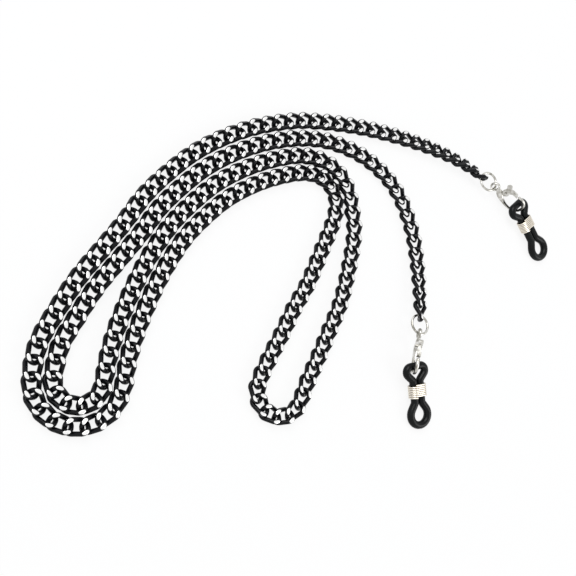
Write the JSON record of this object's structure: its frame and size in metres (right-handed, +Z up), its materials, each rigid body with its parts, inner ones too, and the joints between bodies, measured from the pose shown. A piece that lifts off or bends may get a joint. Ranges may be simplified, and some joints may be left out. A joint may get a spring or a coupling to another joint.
{
  "type": "eyeglasses chain strap",
  "caption": "Neck chain for eyeglasses: twisted curb links with a sprung clasp and a sliding rubber temple loop at each end, laid out in nested loops.",
  "frame": {"origin": "on the table under the middle of the laid-out chain's bounding box", "axes": "+X to the right along the long way of the layout, +Y to its far side, +Z up from the table"},
  "size_m": [0.1592, 0.0868, 0.0069],
  "materials": {
    "chain": "gloss black",
    "ring": "polished",
    "clasp": "polished",
    "spring": "bright wire",
    "coil": "bright wire",
    "rubber": "smooth satin"
  },
  "bodies": {
    "chain_01": {"chain_01": "chain"},
    "chain_02": {"chain_02": "chain"},
    "chain_03": {"chain_03": "chain"},
    "chain_04": {"chain_04": "chain"},
    "chain_05": {"chain_05": "chain"},
    "chain_06": {"chain_06": "chain"},
    "chain_07": {"chain_07": "chain"},
    "chain_08": {"chain_08": "chain"},
    "chain_09": {"chain_09": "chain"},
    "chain_10": {"chain_10": "chain"},
    "chain_11": {"chain_11": "chain"},
    "chain_12": {"chain_12": "chain"},
    "chain_13": {"chain_13": "chain"},
    "chain_14": {"chain_14": "chain"},
    "chain_15": {"chain_15": "chain"},
    "chain_16": {"chain_16": "chain"},
    "chain_17": {"chain_17": "chain"},
    "chain_18": {"chain_18": "chain"},
    "chain_19": {"chain_19": "chain"},
    "chain_20": {"chain_20": "chain"},
    "chain_21": {"chain_21": "chain"},
    "chain_22": {"chain_22": "chain"},
    "chain_23": {"chain_23": "chain"},
    "chain_24": {"chain_24": "chain"},
    "chain_25": {"chain_25": "chain"},
    "chain_26": {"chain_26": "chain"},
    "chain_27": {"chain_27": "chain"},
    "chain_28": {"chain_28": "chain"},
    "chain_29": {"chain_29": "chain"},
    "chain_30": {"chain_30": "chain"},
    "chain_31": {"chain_31": "chain"},
    "chain_32": {"chain_32": "chain"},
    "chain_33": {"chain_33": "chain"},
    "chain_34": {"chain_34": "chain"},
    "chain_35": {"chain_35": "chain"},
    "chain_36": {"chain_36": "chain"},
    "chain_37": {"chain_37": "chain"},
    "chain_38": {"chain_38": "chain"},
    "ring_a": {"jump_ring_a": "ring"},
    "clasp_a": {"clasp_body_a": "clasp", "clasp_pin_a": "clasp", "clasp_spring_a": "spring"},
    "lever_a": {"clasp_lever_a": "clasp"},
    "holder_a": {"rubber_loop_a": "rubber"},
    "coil_a": {"coil_a": "coil"},
    "ring_b": {"jump_ring_b": "ring"},
    "clasp_b": {"clasp_body_b": "clasp", "clasp_pin_b": "clasp", "clasp_spring_b": "spring"},
    "lever_b": {"clasp_lever_b": "clasp"},
    "holder_b": {"rubber_loop_b": "rubber"},
    "coil_b": {"coil_b": "coil"}
  },
  "joints": [
    {"name": "chain_bend_01", "type": "hinge", "parent": "chain_02", "child": "chain_01", "pos_m": [0.03541, 0.03847, 0.00194], "axis": [-0.2002, -0.9797, 0], "range_deg": [-12, 12]},
    {"name": "chain_bend_02", "type": "hinge", "parent": "chain_03", "child": "chain_02", "pos_m": [0.01659, 0.04087, 0.0015], "axis": [-0.0605, -0.9982, 0], "range_deg": [-15, 15]},
    {"name": "chain_bend_03", "type": "hinge", "parent": "chain_04", "child": "chain_03", "pos_m": [-0.00237, 0.04056, 0.00147], "axis": [0.0859, -0.9963, 0], "range_deg": [-15, 15]},
    {"name": "chain_bend_04", "type": "hinge", "parent": "chain_05", "child": "chain_04", "pos_m": [-0.02084, 0.03654, 0.00147], "axis": [-0.3371, 0.9415, 0], "range_deg": [-15, 15]},
    {"name": "chain_bend_05", "type": "hinge", "parent": "chain_06", "child": "chain_05", "pos_m": [-0.03768, 0.02793, 0.00147], "axis": [-0.568, 0.823, 0], "range_deg": [-15, 15]},
    {"name": "chain_bend_06", "type": "hinge", "parent": "chain_07", "child": "chain_06", "pos_m": [-0.05157, 0.01508, 0.00147], "axis": [-0.7644, 0.6448, 0], "range_deg": [-15, 15]},
    {"name": "chain_bend_07", "type": "hinge", "parent": "chain_08", "child": "chain_07", "pos_m": [-0.06261, -0.00033, 0.00147], "axis": [-0.8005, 0.5994, 0], "range_deg": [-15, 15]},
    {"name": "chain_bend_08", "type": "hinge", "parent": "chain_09", "child": "chain_08", "pos_m": [-0.07294, -0.01621, 0.00147], "axis": [-0.8788, 0.4772, 0], "range_deg": [-15, 15]},
    {"name": "chain_bend_09", "type": "hinge", "parent": "chain_10", "child": "chain_09", "pos_m": [-0.07675, -0.03411, 0.00147], "axis": [-0.9548, -0.2972, 0], "range_deg": [-15, 15]},
    {"name": "chain_bend_10", "type": "hinge", "parent": "chain_11", "child": "chain_10", "pos_m": [-0.06193, -0.03975, 0.00147], "axis": [-0.5046, 0.8633, 0], "range_deg": [-15, 15]},
    {"name": "chain_bend_11", "type": "hinge", "parent": "chain_12", "child": "chain_11", "pos_m": [-0.05502, -0.02311, 0.00147], "axis": [-0.9668, 0.2556, 0], "range_deg": [-15, 15]},
    {"name": "chain_bend_12", "type": "hinge", "parent": "chain_13", "child": "chain_12", "pos_m": [-0.04813, -0.00547, 0.00147], "axis": [-0.8894, 0.4572, 0], "range_deg": [-15, 15]},
    {"name": "chain_bend_13", "type": "hinge", "parent": "chain_14", "child": "chain_13", "pos_m": [-0.03716, 0.00989, 0.00147], "axis": [-0.7088, 0.7054, 0], "range_deg": [-15, 15]},
    {"name": "chain_bend_14", "type": "hinge", "parent": "chain_15", "child": "chain_14", "pos_m": [-0.02183, 0.02086, 0.00147], "axis": [-0.4343, 0.9008, 0], "range_deg": [-15, 15]},
    {"name": "chain_bend_15", "type": "hinge", "parent": "chain_16", "child": "chain_15", "pos_m": [-0.00387, 0.02471, 0.00147], "axis": [0.3205, 0.9473, 0], "range_deg": [-12, 12]},
    {"name": "chain_bend_16", "type": "hinge", "parent": "chain_17", "child": "chain_16", "pos_m": [-0.00135, 0.0092, 0.00147], "axis": [0.9126, -0.4088, 0], "range_deg": [-15, 15]},
    {"name": "chain_bend_17", "type": "hinge", "parent": "chain_18", "child": "chain_17", "pos_m": [-0.00967, -0.00783, 0.00147], "axis": [0.8524, -0.5228, 0], "range_deg": [-15, 15]},
    {"name": "chain_bend_18", "type": "hinge", "parent": "chain_19", "child": "chain_18", "pos_m": [-0.01893, -0.02439, 0.00147], "axis": [0.8776, -0.4793, 0], "range_deg": [-15, 15]},
    {"name": "chain_bend_19", "type": "hinge", "parent": "chain_19", "child": "chain_20", "pos_m": [-0.01687, -0.03884, 0.00147], "axis": [0.1414, 0.99, 0], "range_deg": [-8, 8]},
    {"name": "chain_bend_20", "type": "hinge", "parent": "chain_20", "child": "chain_21", "pos_m": [-0.00581, -0.02611, 0.00147], "axis": [-0.8904, 0.4551, 0], "range_deg": [-15, 15]},
    {"name": "chain_bend_21", "type": "hinge", "parent": "chain_21", "child": "chain_22", "pos_m": [0.0023, -0.00896, 0.00147], "axis": [0.9363, -0.3511, 0], "range_deg": [-15, 15]},
    {"name": "chain_bend_22", "type": "hinge", "parent": "chain_22", "child": "chain_23", "pos_m": [0.00678, 0.00942, 0.00147], "axis": [-0.9962, 0.0868, 0], "range_deg": [-15, 15]},
    {"name": "chain_bend_23", "type": "hinge", "parent": "chain_23", "child": "chain_24", "pos_m": [0.00183, 0.02687, 0.00147], "axis": [-0.6553, -0.7554, 0], "range_deg": [-15, 15]},
    {"name": "chain_bend_24", "type": "hinge", "parent": "chain_24", "child": "chain_25", "pos_m": [-0.01595, 0.02828, 0.00147], "axis": [-0.314, 0.9494, 0], "range_deg": [-15, 15]},
    {"name": "chain_bend_25", "type": "hinge", "parent": "chain_25", "child": "chain_26", "pos_m": [-0.03285, 0.01984, 0.00147], "axis": [-0.5788, 0.8155, 0], "range_deg": [-15, 15]},
    {"name": "chain_bend_26", "type": "hinge", "parent": "chain_26", "child": "chain_27", "pos_m": [-0.04631, 0.00657, 0.00147], "axis": [0.8053, -0.5928, 0], "range_deg": [-15, 15]},
    {"name": "chain_bend_27", "type": "hinge", "parent": "chain_27", "child": "chain_28", "pos_m": [-0.0554, -0.01003, 0.00147], "axis": [0.9238, -0.3829, 0], "range_deg": [-15, 15]},
    {"name": "chain_bend_28", "type": "hinge", "parent": "chain_28", "child": "chain_29", "pos_m": [-0.06088, -0.02814, 0.00147], "axis": [-0.9855, 0.1699, 0], "range_deg": [-15, 15]},
    {"name": "chain_bend_29", "type": "hinge", "parent": "chain_29", "child": "chain_30", "pos_m": [-0.07182, -0.03358, 0.00147], "axis": [-0.8783, -0.4781, 0], "range_deg": [-4, 8]},
    {"name": "chain_bend_30", "type": "hinge", "parent": "chain_30", "child": "chain_31", "pos_m": [-0.06767, -0.01617, 0.00147], "axis": [-0.8707, 0.4918, 0], "range_deg": [-15, 15]},
    {"name": "chain_bend_31", "type": "hinge", "parent": "chain_31", "child": "chain_32", "pos_m": [-0.05697, -0.00052, 0.00147], "axis": [-0.7988, 0.6016, 0], "range_deg": [-15, 15]},
    {"name": "chain_bend_32", "type": "hinge", "parent": "chain_32", "child": "chain_33", "pos_m": [-0.04564, 0.01465, 0.00147], "axis": [0.7278, -0.6858, 0], "range_deg": [-15, 15]},
    {"name": "chain_bend_33", "type": "hinge", "parent": "chain_33", "child": "chain_34", "pos_m": [-0.03101, 0.02661, 0.00147], "axis": [0.5069, -0.862, 0], "range_deg": [-15, 15]},
    {"name": "chain_bend_34", "type": "hinge", "parent": "chain_34", "child": "chain_35", "pos_m": [-0.01356, 0.03386, 0.00147], "axis": [-0.2436, 0.9699, 0], "range_deg": [-15, 15]},
    {"name": "chain_bend_35", "type": "hinge", "parent": "chain_35", "child": "chain_36", "pos_m": [0.00517, 0.03426, 0.00147], "axis": [-0.2299, -0.9732, 0], "range_deg": [-15, 15]},
    {"name": "chain_bend_36", "type": "hinge", "parent": "chain_36", "child": "chain_37", "pos_m": [0.02105, 0.02471, 0.00147], "axis": [0.7837, 0.6211, 0], "range_deg": [-15, 15]},
    {"name": "chain_bend_37", "type": "hinge", "parent": "chain_37", "child": "chain_38", "pos_m": [0.02776, 0.00726, 0.0015], "axis": [-0.9917, -0.1282, 0], "range_deg": [-15, 15]},
    {"name": "ring_swing_a", "type": "hinge", "parent": "chain_01", "child": "ring_a", "pos_m": [0.05398, 0.03215, 0.00223], "axis": [0.0031, 0.0067, 1], "range_deg": [-15, 15]},
    {"name": "clasp_swing_a", "type": "hinge", "parent": "ring_a", "child": "clasp_a", "pos_m": [0.05768, 0.03, 0.00276], "axis": [0.508, 0.7759, -0.3741], "range_deg": [-25, 25]},
    {"name": "lever_press_a", "type": "hinge", "parent": "clasp_a", "child": "lever_a", "pos_m": [0.06098, 0.02829, 0.0037], "axis": [0.508, 0.7759, -0.3741], "range_deg": [0, 24], "stiffness_Nm_per_rad": 0.002, "springref_deg": -17.19},
    {"name": "holder_swing_a", "type": "hinge", "parent": "clasp_a", "child": "holder_a", "pos_m": [0.0656, 0.02505, 0.00325], "axis": [0.7771, 0.6293, 0], "range_deg": [-20, 20]},
    {"name": "coil_slide_a", "type": "slide", "parent": "holder_a", "child": "coil_a", "axis": [0.6252, -0.7721, -0.114], "range_m": [0, 0.0031]},
    {"name": "ring_swing_b", "type": "hinge", "parent": "chain_38", "child": "ring_b", "pos_m": [0.02849, -0.01239, 0.002], "axis": [0.3014, -0.001, -0.9535], "range_deg": [-15, 8]},
    {"name": "clasp_swing_b", "type": "hinge", "parent": "ring_b", "child": "clasp_b", "pos_m": [0.02719, -0.01643, 0.00305], "axis": [0.9078, -0.1895, 0.3741], "range_deg": [-25, 25]},
    {"name": "lever_press_b", "type": "hinge", "parent": "clasp_b", "child": "lever_b", "pos_m": [0.02607, -0.01997, 0.00399], "axis": [0.9078, -0.1895, 0.3741], "range_deg": [0, 24], "stiffness_Nm_per_rad": 0.002, "springref_deg": -17.19},
    {"name": "holder_swing_b", "type": "hinge", "parent": "clasp_b", "child": "holder_b", "pos_m": [0.02509, -0.02553, 0.00354], "axis": [0.9816, 0.1908, 0], "range_deg": [-20, 20]},
    {"name": "coil_slide_b", "type": "slide", "parent": "holder_b", "child": "coil_b", "axis": [0.1887, -0.9709, -0.1475], "range_m": [0, 0.0008]}
  ]
}
